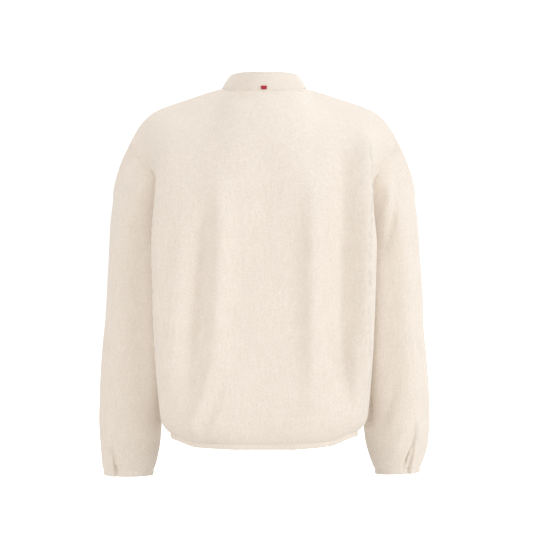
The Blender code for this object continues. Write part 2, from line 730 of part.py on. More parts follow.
half = SLIDER_LENGTH / 2
plate_outline = (
    (-SLIDER_NOSE_HALF, -half),
    (SLIDER_NOSE_HALF, -half),
    (SLIDER_HALF, -half + 3),
    (SLIDER_HALF, half - 2),
    (SLIDER_HALF - 2, half),
    (-SLIDER_HALF + 2, half),
    (-SLIDER_HALF, half - 2),
    (-SLIDER_HALF, -half + 3),
)
front_low = CHAIN_FRONT + GAP
back_high = -CHAIN_BACK - GAP
post_outline = ((-POST_HALF, POST_LOW), (POST_HALF, POST_LOW), (POST_HALF, POST_HIGH), (-POST_HALF, POST_HIGH))
slider_parts = [
    prism("plate", plate_outline, front_low, front_low + PLATE, slider_space),
    prism("back_plate", plate_outline, back_high - PLATE, back_high, slider_space),
    prism("post", post_outline, back_high - PLATE / 2, front_low + PLATE / 2, slider_space),
]
cheek_outline = (
    (-PIN_BELOW - 1.8, front_low + PLATE / 2),
    (-PIN_BELOW + 1.8, front_low + PLATE / 2),
    (-PIN_BELOW + 1.2, PIN_RISE + 1.2),
    (-PIN_BELOW - 1.2, PIN_RISE + 1.2),
)
for low, high in ((-CHEEK_OUT, -CHEEK_IN), (CHEEK_IN, CHEEK_OUT)):
    slider_parts.append(prism("cheek", cheek_outline, low, high, lambda a, b, x: slider_space(x, a, b)))
pin_outline = circle(PIN, 12, -PIN_BELOW, PIN_RISE)
pin_reach = (CHEEK_IN + CHEEK_OUT) / 2
slider_parts.append(prism("pin", pin_outline, -pin_reach, pin_reach, lambda a, b, x: slider_space(x, a, b)))
made["zip_slider"] = merged("zip_slider", slider_parts, [])

lean = math.radians(TAB_LEAN)
pin_middle = slider_space(0.0, -PIN_BELOW, PIN_RISE)
tab_down = -slider_up * math.cos(lean) - slider_out * math.sin(lean)
tab_out = slider_out * math.cos(lean) - slider_up * math.sin(lean)


def tab_space(x, down, out):
    return pin_middle + np.array([x, 0.0, 0.0]) + tab_down * down + tab_out * out


def tab_side(a, b, x):
    return tab_space(x, a, b)


eye_half = CHEEK_IN - GAP
shank = TAB / 2 - 0.15
shank_outline = ((0.0, -shank), (6.0, -shank), (6.0, shank), (0.0, shank))
blade_outline = (
    (-TAB_HALF + 1, 4.5),
    (TAB_HALF - 1, 4.5),
    (TAB_HALF, 6.0),
    (TAB_HALF, TAB_LENGTH - 2.5),
    (TAB_HALF - 1.5, TAB_LENGTH),
    (-TAB_HALF + 1.5, TAB_LENGTH),
    (-TAB_HALF, TAB_LENGTH - 2.5),
    (-TAB_HALF, 6.0),
)
tab_parts = [
    prism("eye", circle(EYE, 16), -eye_half, eye_half, tab_side),
    prism("shank", shank_outline, -eye_half + 0.2, eye_half - 0.2, tab_side),
    prism("blade", blade_outline, -TAB / 2, TAB / 2, tab_space),
]
tab_holes = [prism("hole", circle(PIN + EYE_CLEAR, 16), -2 * eye_half, 2 * eye_half, tab_side)]
made["zip_pull_tab"] = merged("zip_pull_tab", tab_parts, tab_holes)

# The small tab lies on the outside of the collar, over the neck seam at the back.
NECK_TAB_X = (-5.4, 0.0, 4.4)
NECK_TAB_SHARES = (0.05, 0.24)
NECK_TAB = 0.9


def collar_face(x, share):
    """A point of the collar's mean outer face near the centre back, and the way out of it."""
    here = slice(centre - RIB_SPLIT, centre + RIB_SPLIT + 1)
    places, ways = collar[:, here], normals["collar"][:, here]
    found = []
    for grid in (places, ways):
        rows = [[np.interp(x, places[r, :, 0], grid[r, :, axis]) for axis in range(3)] for r in range(3)]
        found.append([np.interp(share, COLLAR_SHARES[:3], [row[axis] for row in rows]) for axis in range(3)])
    return np.array(found[0]), unit(np.array(found[1]))


tab_rows = [[collar_face(x, share) for x in NECK_TAB_X] for share in NECK_TAB_SHARES]
tab_lift = GAP + RIB_RISE
tab_inner = np.array([[point + tab_lift * out for point, out in row] for row in tab_rows])
tab_outer = np.array([[point + (tab_lift + NECK_TAB) * out for point, out in row] for row in tab_rows])
made["neck_tab"] = add_wall("neck_tab", tab_outer, tab_inner, False)

COLOURS = {
    "back": (0.83, 0.76, 0.67),
    "front_left": (0.83, 0.76, 0.67),
    "front_right": (0.83, 0.76, 0.67),
    "sleeve_left": (0.83, 0.76, 0.67),
    "sleeve_right": (0.83, 0.76, 0.67),
    "collar": (0.84, 0.78, 0.69),
    "hem_binding": (0.82, 0.75, 0.66),
    "cuff_binding_left": (0.82, 0.75, 0.66),
    "cuff_binding_right": (0.82, 0.75, 0.66),
    "zip_tape_left": (0.80, 0.73, 0.64),
    "zip_tape_right": (0.80, 0.73, 0.64),
    "zip_chain": (0.78, 0.71, 0.62),
    "zip_bottom_stop": (0.70, 0.69, 0.66),
    "zip_slider": (0.70, 0.69, 0.66),
    "zip_pull_tab": (0.70, 0.69, 0.66),
    "neck_tab": (0.60, 0.04, 0.06),
}
for name, obj in made.items():
    material = bpy.data.materials.new(name + "_material")
    material.use_nodes = True
    shader = material.node_tree.nodes["Principled BSDF"]
    shader.inputs["Base Color"].default_value = (*COLOURS[name], 1.0)
    shader.inputs["Roughness"].default_value = 0.9
    obj.data.materials.append(material)
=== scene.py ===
import math

import bmesh
import bpy
import numpy as np
from mathutils import Matrix, Vector, noise
from mathutils.bvhtree import BVHTree
from mathutils.kdtree import KDTree


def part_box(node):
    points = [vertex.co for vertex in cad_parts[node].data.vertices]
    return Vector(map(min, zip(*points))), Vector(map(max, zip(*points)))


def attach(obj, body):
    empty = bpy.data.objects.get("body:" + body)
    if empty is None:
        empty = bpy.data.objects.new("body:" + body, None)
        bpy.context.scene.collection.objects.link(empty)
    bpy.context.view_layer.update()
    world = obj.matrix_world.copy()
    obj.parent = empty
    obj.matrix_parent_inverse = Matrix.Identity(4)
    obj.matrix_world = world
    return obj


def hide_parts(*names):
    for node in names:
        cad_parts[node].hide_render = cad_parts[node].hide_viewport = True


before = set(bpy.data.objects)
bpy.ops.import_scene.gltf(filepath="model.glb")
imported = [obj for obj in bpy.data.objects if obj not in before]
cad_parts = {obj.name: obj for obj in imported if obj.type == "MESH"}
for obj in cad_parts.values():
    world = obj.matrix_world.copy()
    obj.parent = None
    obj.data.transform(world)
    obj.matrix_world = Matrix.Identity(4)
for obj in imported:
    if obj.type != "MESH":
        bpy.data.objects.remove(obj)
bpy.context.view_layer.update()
MM = 0.001

# The studio: a white seamless floor, a broad soft lamp at the wearer's right, and weaker ones
# round the other sides. The camera stands behind the jacket at the level of its middle.
scene = bpy.context.scene
scene.view_settings.view_transform = "Standard"
CAMERA_AT = (4 * MM, -2800 * MM, -301 * MM)
LENS = 108.06
FLOOR_Z = -0.76
FLOOR_HALF = 12.0
FLOOR_COLOUR = (0.85, 0.83, 0.8, 1.0)
BACKDROP_LIGHT = 1.1
AIR_LIGHT = 0.755
AIR_COLOUR = (1.0, 0.945, 0.905, 1.0)
# Columns: place x, y, z, side of the square lamp, watts.
LAMPS = (
    (2.6, -1.5, 0.2, 1.2, 27.0),
    (0.1, 0.1, 2.1, 1.8, 16.0),
    (-2.0, -2.0, -0.2, 1.6, 4.5),
    (-0.9, -1.2, -0.6, 0.8, 3.0),
    (1.6, 2.3, 0.9, 1.8, 16.0),
    (-1.8, 2.0, 0.9, 1.8, 6.0),
)
LAMP_COLOUR = (0.875, 0.94, 1.0)
LAMPS_AIM = Vector((0.0, 0.0, -0.3))

camera = bpy.data.objects.new("camera", bpy.data.cameras.new("camera"))
scene.collection.objects.link(camera)
camera.data.lens = LENS
camera.data.clip_end = 30
camera.location = CAMERA_AT
camera.rotation_euler = (math.radians(90), 0, 0)
scene.camera = camera

world = bpy.data.worlds.new("studio_air")
world.use_nodes = True
air = world.node_tree
air.nodes["Background"].inputs["Color"].default_value = AIR_COLOUR
air.nodes["Background"].inputs["Strength"].default_value = AIR_LIGHT
backdrop = air.nodes.new("ShaderNodeBackground")
backdrop.inputs["Color"].default_value = (1.0, 1.0, 1.0, 1.0)
backdrop.inputs["Strength"].default_value = BACKDROP_LIGHT
seen = air.nodes.new("ShaderNodeMixShader")
air.links.new(air.nodes.new("ShaderNodeLightPath").outputs["Is Camera Ray"], seen.inputs[0])
air.links.new(air.nodes["Background"].outputs[0], seen.inputs[1])
air.links.new(backdrop.outputs[0], seen.inputs[2])
air.links.new(seen.outputs[0], air.nodes["World Output"].inputs["Surface"])
scene.world = world

for i, (x, y, z, side, watts) in enumerate(LAMPS):
    lamp = bpy.data.objects.new(f"lamp_{i}", bpy.data.lights.new(f"lamp_{i}", "AREA"))
    lamp.data.size = side
    lamp.data.energy = watts
    lamp.data.color = LAMP_COLOUR
    lamp.location = (x, y, z)
    lamp.rotation_euler = (LAMPS_AIM - lamp.location).to_track_quat("-Z", "Y").to_euler()
    scene.collection.objects.link(lamp)

shape = bmesh.new()
bmesh.ops.create_grid(shape, x_segments=2, y_segments=2, size=FLOOR_HALF)
bmesh.ops.translate(shape, verts=shape.verts, vec=(0.0, 0.0, FLOOR_Z))
floor_mesh = bpy.data.meshes.new("floor")
shape.to_mesh(floor_mesh)
shape.free()
studio_floor = bpy.data.objects.new("studio_floor", floor_mesh)
scene.collection.objects.link(studio_floor)
floor_paint = bpy.data.materials.new("floor_paint")
floor_paint.use_nodes = True
floor_shader = floor_paint.node_tree.nodes["Principled BSDF"]
floor_shader.inputs["Base Color"].default_value = FLOOR_COLOUR
floor_shader.inputs["Roughness"].default_value = 0.9
floor_shader.inputs["Emission Color"].default_value = (1.0, 1.0, 1.0, 1.0)
floor_seen = floor_paint.node_tree.nodes.new("ShaderNodeLightPath").outputs["Is Camera Ray"]
floor_paint.node_tree.links.new(floor_seen, floor_shader.inputs["Emission Strength"])
floor_mesh.materials.append(floor_paint)

# The back: one wide piece of brushed fleece, sewn to the fronts at the sides and shoulders.
# It hangs from the shoulders and is drawn in by the binding at the hem, which gathers soft folds.
MERGED_WITHIN = 0.02 * MM
PANEL_BEND = math.radians(50)  # two triangles within these angles are joined to one panel
PANEL_SKEW = math.radians(70)
RIM_ANGLE = math.radians(52)  # a sharper edge than this is one of the cloth's cut edges
RIM_EDGE = 4 * MM  # a face with an edge shorter than this may belong to the cut edge
CRISP_SPLITS = (-7.5, -4.5, -1.5, 1.5, 4.5, 7.5)  # mm to both sides of a crisp fold's line
CRISP_BESIDE = 16 * MM  # only the faces this near to the line are split
CRISP_ABOVE = 12 * MM
CRISP_BEHIND = 40 * MM
UNEVEN = 0.5 * MM
UNEVEN_WAVES = (14, 37)  # waves a metre of the broad and of the fine unevenness
FOLD_LINE_POINTS = 33
SEAM_REACH = 3.5 * MM
SEAM_LIFT = 0.2 * MM
RIM_LEVEL = 3 * MM  # a rim nearer than this to the level of the free edge is not sewn to a neighbour
FREE_EDGE_REACH = 6 * MM  # the folds flatten over this length towards a bound edge
SEAM_CLOSE = 0.17 * MM  # how far each rim moves to meet its neighbour's
FULLNESS = 0.7 * MM  # makes up for what rounding takes off the form
HEM_EDGE_Z = -597 * MM
# Columns: seen from, across and height of three points on its line, half width before and after
# that line, height (troughs below zero), share of its length over which it fades in and out.
BACK_FOLDS = (
    ("back", -242, -85, -219, -112, -192, -140, 5, 5, -4.0, 0.3, 0.25),
    ("back", 238, -88, 214, -116, 186, -146, 5, 5, -4.0, 0.3, 0.25),
    ("back", -73, -130, -78, -330, -97, -550, 13, 20, 8.0, 0.3, 0.3),
    ("back", -100, -160, -107, -350, -132, -550, 11, 11, -7.8, 0.3, 0.35),
    ("back", -134, -215, -147, -350, -162, -560, 16, 14, 2.6, 0.3, 0.3),
    ("back", -88, -460, -104, -520, -132, -586, 8, 9, 6.0, 0.3, 0.15),
    ("back", -68, -480, -84, -535, -108, -586, 8, 8, -4.0, 0.3, 0.15),
    ("back", 80, -130, 80, -320, 79, -560, 12, 20, 6.0, 0.35, 0.3),
    ("back", 136, -60, 136, -320, 133, -560, 17, 16, -13.0, 0.15, 0.3),
    ("back", 174, -60, 173, -300, 170, -570, 15, 6, 14.0, 0.1, 0.2),
    ("back", 106, -390, 118, -450, 133, -540, 6, 6, -4.0, 0.25, 0.35),
    ("back", 147, -385, 150, -470, 154, -560, 4.5, 8, 5.0, 0.35, 0.3),
    ("back", -186, -60, -184, -300, -172, -570, 8, 12, 4.5, 0.25, 0.25),
    ("back", -66, -1, 0, -5, 66, -1, 4, 4, 1.0, 0.15, 0.15),
    ("back", -66, -17, 0, -20, 66, -17, 9, 9, -2.2, 0.25, 0.25),
)
# The hem hangs lower in the middle of the back and is drawn up at the wearer's right.
# Columns: across, how far the hem is moved up.
HEM_DROP = ((-150, -0.5), (-100, -1.5), (-50, -3.3), (50, -3.3), (95, -0.5), (140, 4.0), (160, 4.0))
HEM_DROP_FROM = -470 * MM
HEM_DROP_DEPTH = -60 * MM  # the drop fades out from here forwards to the middle of the sides
SIDE_RISE = 8.5 * MM  # how far the hem curves up to both sides
SIDE_RISE_FROM = 112 * MM
SIDE_RISE_OVER = 46 * MM


def eased(share):
    """A share from 0 to 1 that starts and ends gently."""
    share = np.clip(share, 0, 1)
    return share * share * (3 - 2 * share)


def hem_hung(points):
    """How far each point near the hem is moved up."""
    across, rise = np.array(HEM_DROP).T * MM
    low = eased((HEM_DROP_FROM - points[:, 2]) / (HEM_DROP_FROM - HEM_EDGE_Z))
    drop = np.interp(points[:, 0], across, rise) * eased(points[:, 1] / HEM_DROP_DEPTH)
    return low * (drop + SIDE_RISE * eased((np.abs(points[:, 0]) - SIDE_RISE_FROM) / SIDE_RISE_OVER))


def merged_copy(node):
    """A CAD solid's faces with its loose triangles joined up."""
    copy = bmesh.new()
    copy.from_mesh(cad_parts[node].data)
    bmesh.ops.remove_doubles(copy, verts=copy.verts, dist=MERGED_WITHIN)
    return copy


def panelled_copy(node):
    """A merged copy of a cloth solid, with its triangles paired into four-sided panels."""
    copy = merged_copy(node)
    bmesh.ops.join_triangles(
        copy, faces=copy.faces, angle_face_threshold=PANEL_BEND, angle_shape_threshold=PANEL_SKEW
    )
    return copy


def new_piece(name, form):
    """A piece of the jacket from a finished form, without what the CAD mesh says of its shading."""
    mesh = bpy.data.meshes.new(name)
    form.to_mesh(mesh)
    form.free()
    for attribute in [a.name for a in mesh.attributes]:
        if attribute in ("custom_normal", "sharp_face", "sharp_edge"):
            mesh.attributes.remove(mesh.attributes[attribute])
    piece = bpy.data.objects.new(name, mesh)
    scene.collection.objects.link(piece)
    return piece


def shaded_smooth(mesh):
    """Shade a mesh smoothly all over."""
    mesh.polygons.foreach_set("use_smooth", np.ones(len(mesh.polygons), bool))


def rounded(piece, levels):
    """The piece with its form subdivided smoothly, as a plain mesh."""
    smoother = piece.modifiers.new("smoother", "SUBSURF")
    smoother.levels = levels
    smoother.render_levels = levels
    graph = bpy.context.evaluated_depsgraph_get()
    mesh = bpy.data.meshes.new_from_object(piece.evaluated_get(graph))
    piece.modifiers.clear()
    piece.data = mesh
    mesh.name = piece.name
    shaded_smooth(mesh)
    mesh.set_sharp_from_angle(angle=RIM_ANGLE)
    return piece


def split_along(form, line):
    """Split the faces on the back beside a line, given by its two ends, so that a crisp fold fits."""
    (x1, z1), (x2, z2) = line
    across = Vector((z2 - z1, 0, x1 - x2)).normalized()
    for offset in CRISP_SPLITS:
        place = Vector((x1, 0, z1)) * MM + across * offset * MM
        near = []
        for face in form.faces:
            middle = face.calc_center_median()
            beside = abs((middle - place).dot(across)) < CRISP_BESIDE
            if beside and middle.y < CRISP_BEHIND and middle.z < z1 * MM + CRISP_ABOVE:
                near.append(face)
        parts = {part for f in near for part in (f, *f.edges, *f.verts)}
        bmesh.ops.bisect_plane(form, geom=list(parts), plane_co=place, plane_no=across)


def cloth_wall(name, node, levels, crisp=None):
    """A smooth cloth wall on the solid's form, which tells its outer side, inner side and rim."""
    form = panelled_copy(node)
    if crisp is not None:
        split_along(form, crisp)
    crease = form.edges.layers.float.new("crease_edge")
    side = form.faces.layers.int.new("side")
    sharp = set(e for e in form.edges if len(e.link_faces) == 2 and e.calc_face_angle() > RIM_ANGLE)
    for edge in sharp:
        edge[crease] = 1.0
    walls = []
    for face in form.faces:
        ends = [e for e in face.edges if e in sharp]
        across = any(not set(a.verts) & set(b.verts) for a in ends for b in ends if a is not b)
        thin = ends and min(e.calc_length() for e in face.edges) < RIM_EDGE and len(face.verts) == 3
        if not (across or thin):
            walls.append(face)
    left = set(walls)
    islands = []
    while left:
        grown = [left.pop()]
        for face in grown:
            for edge in face.edges:
                if edge in sharp:
                    continue
                for other in edge.link_faces:
                    if other in left:
                        left.discard(other)
                        grown.append(other)
        islands.append(grown)
    islands.sort(key=lambda faces: -sum(f.calc_area() for f in faces))
    for value, faces in zip((1, -1), islands):
        for face in faces:
            face[side] = value
    return rounded(new_piece(name, form), levels)


def points_of(mesh):
    """A mesh's points, a row for each."""
    points = np.empty(len(mesh.vertices) * 3)
    mesh.vertices.foreach_get("co", points)
    return points.reshape(-1, 3)


def unit(vectors):
    """Each row's direction."""
    return vectors / np.maximum(np.linalg.norm(vectors, axis=1, keepdims=True), 1e-12)


def outward(mesh):
    """Points, the way out of the cloth at each, and the way out of the rim at the rim's own points."""
    points = points_of(mesh)
    corners = np.empty(len(mesh.loops), np.int64)
    mesh.loops.foreach_get("vertex_index", corners)
    corners = corners.reshape(-1, 4)
    side = np.empty(len(mesh.polygons), np.int32)
    mesh.attributes["side"].data.foreach_get("value", side)
    a, b, c, d = (points[corners[:, i]] for i in range(4))
    facing = np.cross(c - a, d - b)
    ways, past = np.zeros_like(points), np.zeros_like(points)
    for i in range(4):
        np.add.at(ways, corners[:, i], facing * side[:, None])
        np.add.at(past, corners[side == 0, i], facing[side == 0])
    return points, unit(ways), unit(past)


def tree_of(points):
    """A tree that finds the nearest of some points."""
    tree = KDTree(len(points))
    for i, place in enumerate(points):
        tree.insert(place, i)
    tree.balance()
    return tree


# Which way each side faces, and the axis that runs across it.
SIDES = {"back": (1, -1, 0), "front": (1, 1, 0), "right": (0, 1, 1), "left": (0, -1, 1)}


def fold_lift(points, ways, folds):
    """How far the folds lift each point, in metres, with ridges above zero and troughs below."""
    lift = np.zeros(len(points))
    t = np.linspace(0, 1, FOLD_LINE_POINTS)
    for seen_from, a1, z1, a2, z2, a3, z3, before, after, height, fade_in, fade_out in folds:
        axis, sign, across = SIDES[seen_from]
        facing = np.clip((ways[:, axis] * sign - 0.05) / 0.35, 0, 1)
        line = np.array([
            (1 - t) * (1 - 2 * t) * a1 + 4 * t * (1 - t) * a2 + t * (2 * t - 1) * a3,
            (1 - t) * (1 - 2 * t) * z1 + 4 * t * (1 - t) * z2 + t * (2 * t - 1) * z3,
        ]) * MM
        plane = points[:, [across, 2]]
        reach = 3 * max(before, after) * MM
        near = (facing > 0) & (plane >= line.min(axis=1) - reach).all(axis=1)
        near &= (plane <= line.max(axis=1) + reach).all(axis=1)
        index = np.nonzero(near)[0]
        apart = np.linalg.norm(plane[index, None, :] - line.T[None], axis=2)
        nearest = apart.argmin(axis=1)
        half_width = np.where(plane[index, 0] < line[0, nearest], before, after) * MM
        strength = eased(t[nearest] / fade_in) * eased((1 - t[nearest]) / fade_out)
        profile = np.exp(-((apart.min(axis=1) / half_width) ** 2))
        lift[index] += height * MM * strength * profile * facing[index]
    return lift


def softened(piece, folds, hung, free_edge, seam_lift):
    """Raise the folds and a faint unevenness in a wall, draw its seams together and let it hang."""
    mesh = piece.data
    points, ways, past = outward(mesh)
    broad, fine = UNEVEN_WAVES
    waves = np.array([noise.noise(Vector(p) * broad) + 0.5 * noise.noise(Vector(p) * fine) for p in points])
    lift = fold_lift(points, ways, folds) + FULLNESS + UNEVEN * waves
    levels = np.abs(points[:, 2] - free_edge)
    sewn = (np.linalg.norm(past, axis=1) > 0.5) & (levels > RIM_LEVEL)
    tree = tree_of(points[sewn])
    apart = np.array([tree.find(p)[2] for p in points])
    fade = np.exp(-((apart / SEAM_REACH) ** 2))
    lift = lift * (1 - fade) + seam_lift * fade
    lift *= np.clip(levels / FREE_EDGE_REACH, 0, 1)
    moved = points + ways * lift[:, None] + past * (SEAM_CLOSE * sewn)[:, None]
    moved[:, 2] += hung(points)
    mesh.vertices.foreach_set("co", moved.ravel())
    mesh.update()
    return piece


def group_of(name, inputs, outputs):
    """An empty shader node group, its input node and its output node."""
    tree = bpy.data.node_groups.new(name, "ShaderNodeTree")
    for socket, kind, value in inputs:
        made = tree.interface.new_socket(name=socket, in_out="INPUT", socket_type="NodeSocket" + kind)
        made.default_value = value
    for socket, kind in outputs:
        tree.interface.new_socket(name=socket, in_out="OUTPUT", socket_type="NodeSocket" + kind)
    return tree, tree.nodes.new("NodeGroupInput"), tree.nodes.new("NodeGroupOutput")


def on_object(tree):
    """The jacket's own coordinates, which a pattern keeps to."""
    return tree.nodes.new("ShaderNodeTexCoord").outputs["Object"]


def noise_node(tree, where, scale, detail, roughness=0.55):
    """Noise from 0 to 1, with scale waves a metre."""
    node = tree.nodes.new("ShaderNodeTexNoise")
    node.inputs["Scale"].default_value = scale
    node.inputs["Detail"].default_value = detail
    node.inputs["Roughness"].default_value = roughness
    tree.links.new(where, node.inputs["Vector"])
    return node.outputs["Fac"]


def blended(tree, factor, first, second, mode="MIX"):
    """A colour mix; factor, first and second are sockets or fixed values."""
    node = tree.nodes.new("ShaderNodeMix")
    node.data_type = "RGBA"
    node.blend_type = mode
    for socket, value in ((0, factor), (6, first), (7, second)):
        if isinstance(value, bpy.types.NodeSocket):
            tree.links.new(value, node.inputs[socket])
        else:
            node.inputs[socket].default_value = value
    return node.outputs[2]


def ranged(tree, value, low, high, to_low=0.0, to_high=1.0):
    """A value brought from one range into another."""
    node = tree.nodes.new("ShaderNodeMapRange")
    tree.links.new(value, node.inputs["Value"])
    node.inputs["From Min"].default_value = low
    node.inputs["From Max"].default_value = high
    node.inputs["To Min"].default_value = to_low
    node.inputs["To Max"].default_value = to_high
    return node.outputs["Result"]


def calc(tree, operation, first, second=0.0, third=0.0):
    """One step of arithmetic on sockets or fixed values."""
    node = tree.nodes.new("ShaderNodeMath")
    node.operation = operation
    for socket, value in enumerate((first, second, third)):
        if isinstance(value, bpy.types.NodeSocket):
            tree.links.new(value, node.inputs[socket])
        else:
            node.inputs[socket].default_value = value
    return node.outputs[0]


def grey(tree, value):
    """A grey of this value, to darken or lighten a colour with."""
    tint = tree.nodes.new("ShaderNodeCombineColor")
    for channel in ("Red", "Green", "Blue"):
        tree.links.new(value, tint.inputs[channel])
    return tint.outputs["Color"]


def fleece_nap_group():
    """Brushed wool-like nap: pale and darker fibres mixed, tufts a millimetre or two across."""
    tree, given, out = group_of(
        "fleece_nap",
        [
            ("Pale", "Color", (0.9, 0.85, 0.78, 1)),
            ("Dark", "Color", (0.8, 0.72, 0.62, 1)),
            ("Size", "Float", 1.0),
        ],
        [("Color", "Color"), ("Height", "Float"), ("Roughness", "Float")],
    )
    stretch = tree.nodes.new("ShaderNodeVectorMath")
    stretch.operation = "SCALE"
    tree.links.new(on_object(tree), stretch.inputs[0])
    tree.links.new(given.outputs["Size"], stretch.inputs["Scale"])
    where = stretch.outputs[0]
    tufts = noise_node(tree, where, scale=380, detail=4, roughness=0.7)
    fibres = noise_node(tree, where, scale=1500, detail=2, roughness=0.6)
    patches = noise_node(tree, where, scale=24, detail=3, roughness=0.5)
    upright = tree.nodes.new("ShaderNodeVectorMath")
    upright.operation = "MULTIPLY"
    upright.inputs[1].default_value = (1.0, 1.0, 0.14)
    tree.links.new(where, upright.inputs[0])
    streaks = noise_node(tree, upright.outputs[0], scale=300, detail=2, roughness=0.5)
    naps = calc(tree, "ADD", calc(tree, "MULTIPLY", tufts, 0.5), calc(tree, "MULTIPLY", streaks, 0.15))
    flecks = calc(tree, "ADD", naps, calc(tree, "MULTIPLY", fibres, 0.35))
    share = ranged(tree, flecks, 0.36, 0.64)
    mixed = blended(tree, share, given.outputs["Dark"], given.outputs["Pale"])
    shade = grey(tree, ranged(tree, patches, 0.3, 0.7, 0.985, 1.01))
    tree.links.new(blended(tree, 1.0, mixed, shade, "MULTIPLY"), out.inputs["Color"])
    tree.links.new(flecks, out.inputs["Height"])
    tree.links.new(ranged(tree, tufts, 0.3, 0.7, 0.98, 0.86), out.inputs["Roughness"])
    return tree


fleece_nap = fleece_nap_group()


def new_material(name, fixed):
    """A material, its nodes and its shader, with the fixed values set on the shader's own sockets."""
    material = bpy.data.materials.new(name)
    material.use_nodes = True
    shader = material.node_tree.nodes["Principled BSDF"]
    for socket, value in fixed.items():
        shader.inputs[socket].default_value = value
    return material, material.node_tree, shader


def effect_node(tree, group, pale, dark, size_name, size):
    """An effect's group in a material, with its own two colours and size."""
    node = tree.nodes.new("ShaderNodeGroup")
    node.node_tree = group
    node.inputs["Pale"].default_value = (*pale, 1)
    node.inputs["Dark"].default_value = (*dark, 1)
    node.inputs[size_name].default_value = size
    return node


def bumped(tree, shader, height, strength, distance):
    """Give the shader relief from a height."""
    bump = tree.nodes.new("ShaderNodeBump")
    bump.inputs["Strength"].default_value = strength
    bump.inputs["Distance"].default_value = distance
    tree.links.new(height, bump.inputs["Height"])
    tree.links.new(bump.outputs["Normal"], shader.inputs["Normal"])


def fleece_material(name, pale, dark, relief):
    """Brushed fleece: matt, with a soft sheen where the nap stands against the light."""
    material, tree, shader = new_material(name, {
        "Specular IOR Level": 0.15,
        "Sheen Weight": 0.5,
        "Sheen Roughness": 0.5,
        "Sheen Tint": (1.0, 0.97, 0.93, 1.0),
    })
    nap = effect_node(tree, fleece_nap, pale, dark, "Size", 1.0)
    tree.links.new(nap.outputs["Color"], shader.inputs["Base Color"])
    tree.links.new(nap.outputs["Roughness"], shader.inputs["Roughness"])
    bumped(tree, shader, nap.outputs["Height"], relief, 1.2 * MM)
    return material


cream_fleece = fleece_material("cream_fleece", (0.945, 0.885, 0.81), (0.8, 0.715, 0.62), 0.9)


def fit_out(piece, material, node, body="jacket"):
    """Give a finished piece its material, and let it stand for its solid and ride with it."""
    piece.data.materials.clear()
    piece.data.materials.append(material)
    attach(piece, body)
    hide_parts(node)
    return piece


back = softened(cloth_wall("back_fleece", "back", 2), BACK_FOLDS, hem_hung, HEM_EDGE_Z, SEAM_LIFT)
fit_out(back, cream_fleece, "back")

# The fronts: a left and a right piece of the same fleece, cut straight down the zip.
# Their folds aren't in sight, so they have some like the back's, softer towards the zip.
FRONT_FOLDS = {
    "right": (
        ("front", 112, -220, 104, -340, 118, -470, 12, 12, -2.4, 0.35, 0.3),
        ("front", 92, -300, 96, -430, 92, -575, 11, 11, 2.2, 0.4, 0.2),
        ("front", 62, -420, 58, -500, 64, -584, 9, 9, -1.8, 0.4, 0.2),
        ("front", 138, -170, 140, -300, 130, -420, 9, 9, 2.2, 0.35, 0.35),
    ),
    "left": (
        ("front", -108, -200, -110, -330, -124, -450, 11, 11, -2.6, 0.3, 0.35),
        ("front", -86, -340, -92, -460, -84, -580, 12, 12, 2.0, 0.4, 0.2),
        ("front", -54, -380, -60, -480, -52, -584, 10, 10, -1.6, 0.4, 0.2),
        ("front", -136, -180, -134, -290, -128, -400, 9, 9, 2.4, 0.35, 0.35),
    ),
}
fronts = {}
for side in ("left", "right"):
    wall = cloth_wall(f"front_fleece_{side}", f"front_{side}", 2)
    piece = softened(wall, FRONT_FOLDS[side], hem_hung, HEM_EDGE_Z, SEAM_LIFT)
    fronts[side] = fit_out(piece, cream_fleece, f"front_{side}")

# The sleeves: one piece each, sewn into the dropped armholes and closed under the arm.
# A pleat at the outer back of each cuff takes in the width, and soft breaks run down the arm.
SLEEVE_FOLDS = {
    "left": (
        ("back", -192, -200, -192, -400, -192, -580, 17, 14, 10.0, 0.25, 0.25),
        ("back", -242, -85, -219, -112, -192, -140, 5, 5, -4.0, 0.3, 0.25),
        ("back", -246, -180, -248, -330, -244, -500, 16, 26, 4.0, 0.35, 0.35),
        ("back", -270, -608, -267, -640, -260, -672, 8, 1.8, 2.5, 0.4, 0.02),
        ("back", -267, -612, -264, -642, -256, -672, 1.8, 3.0, -7.0, 0.5, 0.02),
        ("left", 40, -180, 30, -320, 44, -460, 12, 12, -1.6, 0.3, 0.3),
        ("front", -230, -200, -240, -330, -226, -470, 10, 10, -1.8, 0.3, 0.3),
    ),
    "right": (
        ("back", 197, -240, 197, -400, 195, -580, 13, 15, 7.0, 0.25, 0.25),
        ("back", 238, -88, 214, -116, 186, -146, 5, 5, -4.0, 0.3, 0.25),
        ("back", 208, -150, 214, -185, 200, -222, 8, 8, 4.0, 0.3, 0.35),
        ("back", 228, -118, 226, -200, 204, -290, 7, 7, -3.4, 0.3, 0.35),
        ("back", 238, -462, 220, -540, 197, -620, 9, 9, -2.0, 0.35, 0.3),
        ("back", 258, -560, 240, -600, 220, -640, 9, 9, 2.0, 0.35, 0.3),
        ("back", 269, -566, 268, -590, 266, -616, 3.0, 9, 3.0, 0.4, 0.3),
        ("back", 266, -602, 254, -636, 242, -670, 3.0, 1.8, -7.5, 0.35, 0.02),
        ("back", 182, -185, 184, -400, 183, -588, 9, 6, -13.0, 0.12, 0.1),
        ("right", 30, -190, 40, -330, 26, -460, 12, 12, -1.6, 0.3, 0.3),
        ("front", 226, -210, 238, -320, 224, -450, 10, 10, -1.8, 0.3, 0.3),
    ),
}
CUFF_EDGE_Z = -662 * MM
CUFF_PLEATS = {"left": ((-267, -612), (-257, -668)), "right": ((266, -602), (242, -670))}
CUFF_RISE = 5.0 * MM  # how far the right cuff is drawn up
CUFF_RISE_FROM = -560 * MM
CUFF_RISE_INNER = 150 * MM
CUFF_RISE_OVER = 110 * MM


